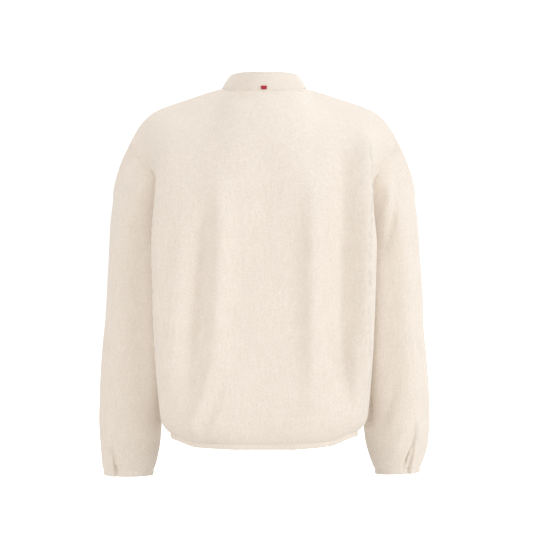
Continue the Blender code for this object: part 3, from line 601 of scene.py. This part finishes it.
def cuffs_hung(points):
    """How far each point of the sleeves near the cuffs is moved up."""
    low = eased((CUFF_RISE_FROM - points[:, 2]) / (CUFF_RISE_FROM - CUFF_EDGE_Z))
    return CUFF_RISE * low * eased((points[:, 0] - CUFF_RISE_INNER) / CUFF_RISE_OVER)


sleeves = {}
for side in ("left", "right"):
    wall = cloth_wall(f"sleeve_fleece_{side}", f"sleeve_{side}", 3, CUFF_PLEATS[side])
    piece = softened(wall, SLEEVE_FOLDS[side], cuffs_hung, CUFF_EDGE_Z, SEAM_LIFT)
    sleeves[side] = fit_out(piece, cream_fleece, f"sleeve_{side}")

# The collar: a band of cream rib knit folded double, which stands up round the neck. It is sewn to
# the neck edge with its ribs upright, and a narrow roll of the seam shows along its foot.
RIB_REACH = 6 * MM  # the neighbourhood that a rib is measured against
RIB_UNIT = 0.12 * MM  # how far the solid's smoothed ribs stand out of it
RIB_LIFT = 0.16 * MM
COLLAR_DRAWN_IN = 0.032  # how much narrower the rib draws it above its foot
COLLAR_DRAWN_OVER = 14 * MM
STITCH_ACROSS = 1.3 * MM  # one knitted stitch
STITCH_UP = 1.0 * MM
NECK_MIDDLE_Y = 4 * MM
NECK_RADIUS = 66 * MM
SEAM_ROLL = 1.5 * MM
SEAM_ROLL_OUT = 2.1 * MM
DOWN = Vector((0, 0, -1))
BEHIND = (0, -1)
AHEAD = (0, 1)
EDGE_EVENED = 6  # points on either side that each one of an edge is evened with
EDGE_PLACES = 160


def set_values(mesh, name, kind, values):
    """Keep a number or a vector of each point on the piece's mesh, for its material."""
    layer = mesh.attributes.new(name, kind, "POINT")
    field = "vector" if kind == "FLOAT_VECTOR" else "value"
    layer.data.foreach_set(field, np.ascontiguousarray(values, np.float32).ravel())


def ribbed(piece):
    """Measure where the wall's ribs stand out, raise them, and lay the knit's own coordinates on it."""
    mesh = piece.data
    points, ways, past = outward(mesh)
    tree = tree_of(points)
    stand = np.empty(len(points))
    for i, place in enumerate(points):
        near = [found[1] for found in tree.find_range(place, RIB_REACH)]
        near = [j for j in near if j == i or ways[j] @ ways[i] > 0.5]
        stand[i] = (place - points[near].mean(axis=0)) @ ways[i]
    rib = np.clip((stand - np.median(stand)) / RIB_UNIT, -1, 1) * (np.linalg.norm(past, axis=1) < 0.5)
    set_values(mesh, "rib", "FLOAT", rib)
    turn = np.arctan2(points[:, 0], -(points[:, 1] - NECK_MIDDLE_Y))
    knit = np.stack([turn * NECK_RADIUS, points[:, 2], 0 * turn], axis=1)
    set_values(mesh, "knit", "FLOAT_VECTOR", knit)
    moved = points + ways * (RIB_LIFT * rib)[:, None]
    moved[:, 0] *= 1 - COLLAR_DRAWN_IN * eased(points[:, 2] / COLLAR_DRAWN_OVER)
    mesh.vertices.foreach_set("co", moved.ravel())
    mesh.update()
    return piece


def attribute_node(tree, name):
    """What was kept on the piece's points under this name."""
    node = tree.nodes.new("ShaderNodeAttribute")
    node.attribute_name = name
    return node


def wave_of(tree, value, size):
    """One to minus one and back over each length of the given size."""
    return calc(tree, "SINE", calc(tree, "MULTIPLY", value, 2 * math.pi / size))


def rib_knit_material(name, pale, dark):
    """Rib knit: small stitches in rows and columns, with painted shade that darkens the furrows between
    ribs.
    """
    material, tree, shader = new_material(name, {
        "Specular IOR Level": 0.15,
        "Sheen Weight": 0.3,
        "Sheen Roughness": 0.5,
    })
    split = tree.nodes.new("ShaderNodeSeparateXYZ")
    tree.links.new(attribute_node(tree, "knit").outputs["Vector"], split.inputs[0])
    rows = wave_of(tree, split.outputs["Y"], STITCH_UP)
    columns = wave_of(tree, split.outputs["X"], STITCH_ACROSS)
    loops = calc(tree, "MULTIPLY_ADD", calc(tree, "MULTIPLY", rows, columns), 0.25, 0.5)
    rib = ranged(tree, attribute_node(tree, "rib").outputs["Fac"], -1, 1)
    nap = effect_node(tree, fleece_nap, pale, dark, "Size", 1.3)
    # Painted shade: the colour is darkened by up to 9 % in the furrows, where the ribs stand back.
    painted_furrow_shade = grey(tree, calc(tree, "MULTIPLY_ADD", rib, 0.09, 0.91))
    colour = blended(tree, 1.0, nap.outputs["Color"], painted_furrow_shade, "MULTIPLY")
    tree.links.new(colour, shader.inputs["Base Color"])
    tree.links.new(nap.outputs["Roughness"], shader.inputs["Roughness"])
    height = calc(tree, "MULTIPLY_ADD", nap.outputs["Height"], 0.5, loops)
    bumped(tree, shader, height, 0.6, 0.5 * MM)
    return material


def edge_line(piece, towards, middle=None, facing=BEHIND, kept=None, within=0.8):
    """The line of a wall's edge on the side that a direction names, and the cloth's way out along it.

    It is in order round a middle, counted from the way that its own middle faces, or else upwards."""
    form = bmesh.new()
    form.from_mesh(piece.data)
    ends = {v for f in form.faces if f.normal.dot(towards) > within for v in f.verts}
    places = np.array([v.co for v in ends if kept is None or kept(v.co)])
    form.free()
    if middle is None:
        out = np.zeros_like(places) + (*facing, 0)
        order = places[:, 2]
    else:
        out = (places - (middle[0], middle[1], 0)) * (1, 1, 0)
        order = np.arctan2(facing[0] * out[:, 1] - facing[1] * out[:, 0], out[:, :2] @ facing)
    row = np.argsort(order)
    both = np.hstack([places, unit(out)])[row]
    padded = np.pad(both, ((EDGE_EVENED, EDGE_EVENED), (0, 0)), mode="edge")
    evened = np.mean([padded[i:i + len(row)] for i in range(2 * EDGE_EVENED + 1)], axis=0)
    order = order[row]
    along = np.linspace(order[0], order[-1], EDGE_PLACES)
    line = np.stack([np.interp(along, order, evened[:, i]) for i in range(6)], axis=1)
    return line[:, :3], unit(line[:, 3:])


def tube(name, line, radius):
    """A round tube along a line of points, as a mesh."""
    curve = bpy.data.curves.new(name, "CURVE")
    curve.dimensions = "3D"
    curve.bevel_depth = radius
    curve.bevel_resolution = 2
    curve.use_fill_caps = True
    spline = curve.splines.new("POLY")
    spline.points.add(len(line) - 1)
    spline.points.foreach_set("co", np.c_[line, np.ones(len(line))].ravel())
    holder = bpy.data.objects.new(name + "_line", curve)
    mesh = bpy.data.meshes.new_from_object(holder)
    bpy.data.objects.remove(holder)
    shaded_smooth(mesh)
    piece = bpy.data.objects.new(name, mesh)
    scene.collection.objects.link(piece)
    return piece


def dressed(piece, material, body="jacket"):
    """Give a piece that has no solid of its own its material, and let it ride on a body."""
    piece.data.materials.clear()
    piece.data.materials.append(material)
    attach(piece, body)
    return piece


rib_knit = rib_knit_material("rib_knit", (0.91, 0.85, 0.77), (0.80, 0.72, 0.63))
collar = ribbed(cloth_wall("collar_rib", "collar", 1))
fit_out(collar, rib_knit, "collar")
foot, foot_ways = edge_line(collar, DOWN, (0, NECK_MIDDLE_Y), within=0.5)
neck_roll = tube("neck_seam_roll", foot + foot_ways * SEAM_ROLL_OUT, SEAM_ROLL)
dressed(neck_roll, cream_fleece)

# The bindings of the hem and the cuffs: a strip of thin cream cloth, folded round the raw edge
# and sewn down, so that it stands a little proud of the fleece on both sides.
BINDING_RISE = 1.2 * MM  # how far its folded edges come up over the cloth
BINDING_TOP = 1 * MM  # the depth of the upper edges that are raised
EDGE_SOFTNESS = 0.45


def soft_strip(name, node, material, rise, hung):
    """A strip of cloth on its solid's form, with rounded edges and its upper edges raised."""
    form = panelled_copy(node)
    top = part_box(node)[1].z
    upper = [v for v in form.verts if v.co.z > top - BINDING_TOP]
    bmesh.ops.translate(form, verts=upper, vec=(0, 0, rise))
    crease = form.edges.layers.float.new("crease_edge")
    for edge in form.edges:
        if len(edge.link_faces) == 2 and edge.calc_face_angle() > RIM_ANGLE:
            edge[crease] = EDGE_SOFTNESS
    piece = rounded(new_piece(name, form), 2)
    if hung is not None:
        points = points_of(piece.data)
        points[:, 2] += hung(points)
        piece.data.vertices.foreach_set("co", points.ravel())
    return fit_out(piece, material, node)


hem_tape = soft_strip("hem_tape", "hem_binding", cream_fleece, BINDING_RISE, hem_hung)
cuff_tapes = {}
for side in ("left", "right"):
    cuff_tapes[side] = soft_strip(
        f"cuff_tape_{side}", f"cuff_binding_{side}", cream_fleece, BINDING_RISE, cuffs_hung
    )

# Stitching: a row of short even stitches in cream thread holds each binding, and another runs
# down each front beside the zip. The fleece's soft nap half hides the thread.
THREAD_STITCH = (2.1 * MM, 0.55 * MM, 0.4 * MM)  # length, width and height of one
STITCH_PITCH = 3.0 * MM
STITCH_SUNK = 0.05 * MM
BINDING_INSET = 2.6 * MM  # below the fleece's free edge
FRONT_INSET = 2.2 * MM  # from the front's edge at the zip
STITCH_REACH = 4 * MM
# Where the edges lie that the rows of stitches follow.
HEM_EDGE_BELOW = -580 * MM
CUFF_EDGE_BELOW = -645 * MM
ZIP_EDGE_WITHIN = 12 * MM


def lengths_along(line):
    """How far along a line each of its points lies."""
    return np.concatenate([[0.0], np.cumsum(np.linalg.norm(np.diff(line, axis=0), axis=1))])


def read(places, at, here):
    """The place that lies this far along a line."""
    return Vector([np.interp(here, at, places[:, i]) for i in range(3)])


def stitches(name, holder, lines, inset):
    """Rows of stitches on a cloth, each along a line of another's edge moved by an inset vector."""
    ground = BVHTree.FromPolygons(
        [v.co for v in holder.data.vertices], [tuple(p.vertices) for p in holder.data.polygons]
    )
    form = bmesh.new()
    for line, ways in lines:
        at = lengths_along(line)
        count = int(at[-1] / STITCH_PITCH)
        for k in range(count):
            here = (k + 0.5) * at[-1] / count
            start = read(line, at, here) + inset + read(ways, at, here) * STITCH_REACH
            spot, out, _, _ = ground.find_nearest(start)
            along = (read(line, at, here + MM) - read(line, at, here - MM)).normalized()
            across = out.cross(along).normalized()
            turned = Matrix((across.cross(out), across, out)).transposed().to_4x4()
            sized = turned @ Matrix.Diagonal((*THREAD_STITCH, 1))
            place = Matrix.Translation(spot - out * STITCH_SUNK) @ sized
            bmesh.ops.create_icosphere(form, subdivisions=1, radius=0.5, matrix=place)
    piece = new_piece(name, form)
    shaded_smooth(piece.data)
    return piece


def two_tone(tree, share, colour, darker):
    """A colour mixed with a darker shade of it."""
    shade = tuple(darker * c for c in colour)
    return blended(tree, share, (*shade, 1), (*colour, 1))


def thread_material(name, colour):
    """Spun sewing thread, a little fuzzy."""
    material, tree, shader = new_material(name, {"Roughness": 0.6})
    ply = noise_node(tree, on_object(tree), scale=2600, detail=2)
    tree.links.new(two_tone(tree, ranged(tree, ply, 0.35, 0.65), colour, 0.82), shader.inputs["Base Color"])
    bumped(tree, shader, ply, 0.5, 0.1 * MM)
    return material


cream_thread = thread_material("cream_thread", (0.88, 0.82, 0.73))


def at_hem(place):
    """Whether a place is on the hem's edge."""
    return place.z < HEM_EDGE_BELOW


def at_cuff(place):
    """Whether a place is on a cuff's edge."""
    return place.z < CUFF_EDGE_BELOW


def at_zip(place):
    """Whether a place is on a front's edge at the zip."""
    return abs(place.x) < ZIP_EDGE_WITHIN


hem_lines = [edge_line(back, DOWN, (0, 0), BEHIND, at_hem)]
hem_lines += [edge_line(front, DOWN, (0, 0), AHEAD, at_hem) for front in fronts.values()]
hem_stitches = stitches("hem_stitches", hem_tape, hem_lines, DOWN * BINDING_INSET)
dressed(hem_stitches, cream_thread)
cuff_stitches, front_stitches = {}, {}
for side, inward in (("left", 1), ("right", -1)):
    low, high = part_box(f"cuff_binding_{side}")
    cuff_line = edge_line(sleeves[side], DOWN, (low + high) / 2, BEHIND, at_cuff)
    row = stitches(f"cuff_stitches_{side}", cuff_tapes[side], [cuff_line], DOWN * BINDING_INSET)
    cuff_stitches[side] = dressed(row, cream_thread)
    inward = Vector((inward, 0, 0))
    zip_line = edge_line(fronts[side], inward, None, AHEAD, at_zip)
    row = stitches(f"front_stitches_{side}", fronts[side], [zip_line], -inward * FRONT_INSET)
    front_stitches[side] = dressed(row, cream_thread)

# The zip's tapes: two strips of woven cream tape, one sewn behind each front edge, which carry
# the teeth.
TWILL = 0.9 * MM  # one rib of the weave


def twill_group():
    """A woven tape: slanting ribs crossed by fine threads, its colour following their height, so painted
    shade darkens the weave's hollows.
    """
    tree, given, out = group_of(
        "woven_twill",
        [
            ("Pale", "Color", (0.8, 0.8, 0.8, 1)),
            ("Dark", "Color", (0.6, 0.6, 0.6, 1)),
            ("Rib", "Float", TWILL),
        ],
        [("Color", "Color"), ("Height", "Float")],
    )
    split = tree.nodes.new("ShaderNodeSeparateXYZ")
    where = on_object(tree)
    tree.links.new(where, split.inputs[0])
    turn = calc(tree, "DIVIDE", 2 * math.pi, given.outputs["Rib"])
    slope = calc(tree, "ADD", split.outputs["X"], split.outputs["Z"])
    slant = calc(tree, "SINE", calc(tree, "MULTIPLY", slope, turn))
    rise = calc(tree, "MULTIPLY", split.outputs["Z"], 2.3)
    weft = calc(tree, "SINE", calc(tree, "MULTIPLY", rise, turn))
    threads = calc(tree, "MULTIPLY_ADD", weft, 0.2, calc(tree, "MULTIPLY_ADD", slant, 0.3, 0.5))
    fuzz = noise_node(tree, where, scale=1800, detail=2)
    height = calc(tree, "MULTIPLY_ADD", fuzz, 0.4, threads)
    tree.links.new(height, out.inputs["Height"])
    # Painted shade: the colour darkens with the weave's height into its hollows; the fuzz noise in the
    # height adds random thread tone.
    share = ranged(tree, height, 0.3, 1.1)
    tree.links.new(blended(tree, share, given.outputs["Dark"], given.outputs["Pale"]), out.inputs["Color"])
    return tree


woven_twill = twill_group()


def woven_material(name, pale, dark, rib):
    """Woven tape with a faint sheen."""
    material, tree, shader = new_material(name, {"Roughness": 0.75, "Sheen Weight": 0.2})
    weave = effect_node(tree, woven_twill, pale, dark, "Rib", rib)
    tree.links.new(weave.outputs["Color"], shader.inputs["Base Color"])
    bumped(tree, shader, weave.outputs["Height"], 0.6, 0.15 * MM)
    return material


zip_weave = woven_material("zip_weave", (0.86, 0.79, 0.69), (0.68, 0.6, 0.5), TWILL)
for side in ("left", "right"):
    soft_strip(f"zip_tape_weave_{side}", f"zip_tape_{side}", zip_weave, 0, None)

# The zip's teeth: moulded cream plastic, set on both tapes in turn so that they lock together.
# The closed chain runs from the hem up to the slider.
TOOTH = (3.5 * MM, 1.15 * MM, 3.0 * MM)  # across, along the zip, deep
TOOTH_FROM_MIDDLE = 1.3 * MM
TOOTH_PITCH = 1.5 * MM
TOOTH_EDGE = 0.25 * MM
TOOTH_NECK = 0.7  # how much narrower it is at its tape than at its head
CHAIN_CUTS = 48
CHAIN_ENDS = (0.5 * MM, 3 * MM)  # left out below and above


def chain_line():
    """The middle of the zip's chain, found in level cuts of its solid."""
    low, high = (corner.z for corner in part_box("zip_chain"))
    line = []
    for z in np.linspace(low + CHAIN_ENDS[0], high - CHAIN_ENDS[1], CHAIN_CUTS):
        form = merged_copy("zip_chain")
        parts = [*form.verts, *form.edges, *form.faces]
        cut = bmesh.ops.bisect_plane(form, geom=parts, plane_co=(0, 0, z), plane_no=(0, 0, 1))
        depths = [v.co.y for v in cut["geom_cut"] if isinstance(v, bmesh.types.BMVert)]
        line.append((0.0, (min(depths) + max(depths)) / 2, z))
        form.free()
    return np.array(line)


def toothed(name):
    """Both rows of teeth, one mesh, each tooth turned the other way from the last."""
    line = chain_line()
    at = lengths_along(line)
    tooth = bmesh.new()
    bmesh.ops.create_cube(tooth, size=1)
    bmesh.ops.scale(tooth, vec=TOOTH, verts=tooth.verts)
    bmesh.ops.bevel(
        tooth, geom=tooth.edges[:], offset=TOOTH_EDGE, segments=1, profile=0.5, affect="EDGES", material=-1
    )
    bmesh.ops.scale(tooth, vec=(1, TOOTH_NECK, 1), verts=[v for v in tooth.verts if v.co.x > 0])
    pattern = bpy.data.meshes.new("tooth")
    tooth.to_mesh(pattern)
    tooth.free()
    form = bmesh.new()
    count = int(at[-1] / TOOTH_PITCH)
    for k in range(count):
        here = (k + 0.5) * at[-1] / count
        along = (read(line, at, here + 2 * MM) - read(line, at, here - 2 * MM)).normalized()
        sign = 1 if k % 2 else -1
        across = Vector((sign, 0, 0))
        turned = Matrix((across, along, across.cross(along))).transposed().to_4x4()
        place = Matrix.Translation(read(line, at, here) + across * TOOTH_FROM_MIDDLE)
        before = len(form.verts)
        form.from_mesh(pattern)
        form.verts.ensure_lookup_table()
        bmesh.ops.transform(form, matrix=place @ turned, verts=form.verts[before:])
    bpy.data.meshes.remove(pattern)
    return new_piece(name, form)


def moulded_material(name, colour):
    """Moulded plastic, slightly cloudy."""
    material, tree, shader = new_material(name, {})
    where = on_object(tree)
    cloud = noise_node(tree, where, scale=300, detail=3)
    tree.links.new(two_tone(tree, cloud, colour, 0.9), shader.inputs["Base Color"])
    tree.links.new(ranged(tree, cloud, 0.3, 0.7, 0.36, 0.5), shader.inputs["Roughness"])
    bumped(tree, shader, noise_node(tree, where, scale=2400, detail=2), 0.15, 0.05 * MM)
    return material


cream_plastic = moulded_material("moulded_teeth", (0.82, 0.75, 0.65))
fit_out(toothed("zip_teeth"), cream_plastic, "zip_chain")

# The zip's metal: a bottom stop pinched on the last teeth, the slider near the collar's top and
# its pull tab, die-cast and plated a dull silver. The tab's eye turns on the slider's pin.
METAL_EDGE = 0.22 * MM
FLAT = math.radians(2)  # faces within this angle are one flat face
METAL_CORNER = math.radians(30)  # a sharper edge than this is eased


def eased_metal(name, node, body):
    """A copy of a metal solid with its edges eased."""
    form = merged_copy(node)
    bmesh.ops.dissolve_limit(form, angle_limit=FLAT, verts=form.verts, edges=form.edges)
    corners = [e for e in form.edges if len(e.link_faces) == 2 and e.calc_face_angle() > METAL_CORNER]
    bmesh.ops.bevel(
        form, geom=corners, offset=METAL_EDGE, segments=2, profile=0.5, affect="EDGES", material=-1,
        clamp_overlap=True,
    )
    bmesh.ops.triangulate(form, faces=[f for f in form.faces if len(f.verts) > 4])
    return fit_out(new_piece(name, form), dull_silver, node, body)


def plated_material(name, colour):
    """Dull plated metal, rubbed smoother in places."""
    material, tree, shader = new_material(name, {"Metallic": 1.0})
    where = on_object(tree)
    cloud = noise_node(tree, where, scale=220, detail=4)
    rubbed = noise_node(tree, where, scale=900, detail=3)
    tree.links.new(two_tone(tree, ranged(tree, cloud, 0.3, 0.6), colour, 0.72), shader.inputs["Base Color"])
    tree.links.new(ranged(tree, rubbed, 0.3, 0.7, 0.28, 0.5), shader.inputs["Roughness"])
    bumped(tree, shader, rubbed, 0.2, 0.05 * MM)
    return material


dull_silver = plated_material("dull_silver", (0.72, 0.71, 0.68))
eased_metal("bottom_stop_metal", "zip_bottom_stop", "jacket")
eased_metal("slider_metal", "zip_slider", "jacket")
eased_metal("pull_tab_metal", "zip_pull_tab", "pull")

# The neck tab: a short piece of red woven tape, sewn flat on the collar over the neck seam at
# the middle of the back.
red_weave = woven_material("red_weave", (0.56, 0.02, 0.045), (0.34, 0.008, 0.02), 0.7 * MM)
neck_tape = soft_strip("neck_tape", "neck_tab", red_weave, 0, None)
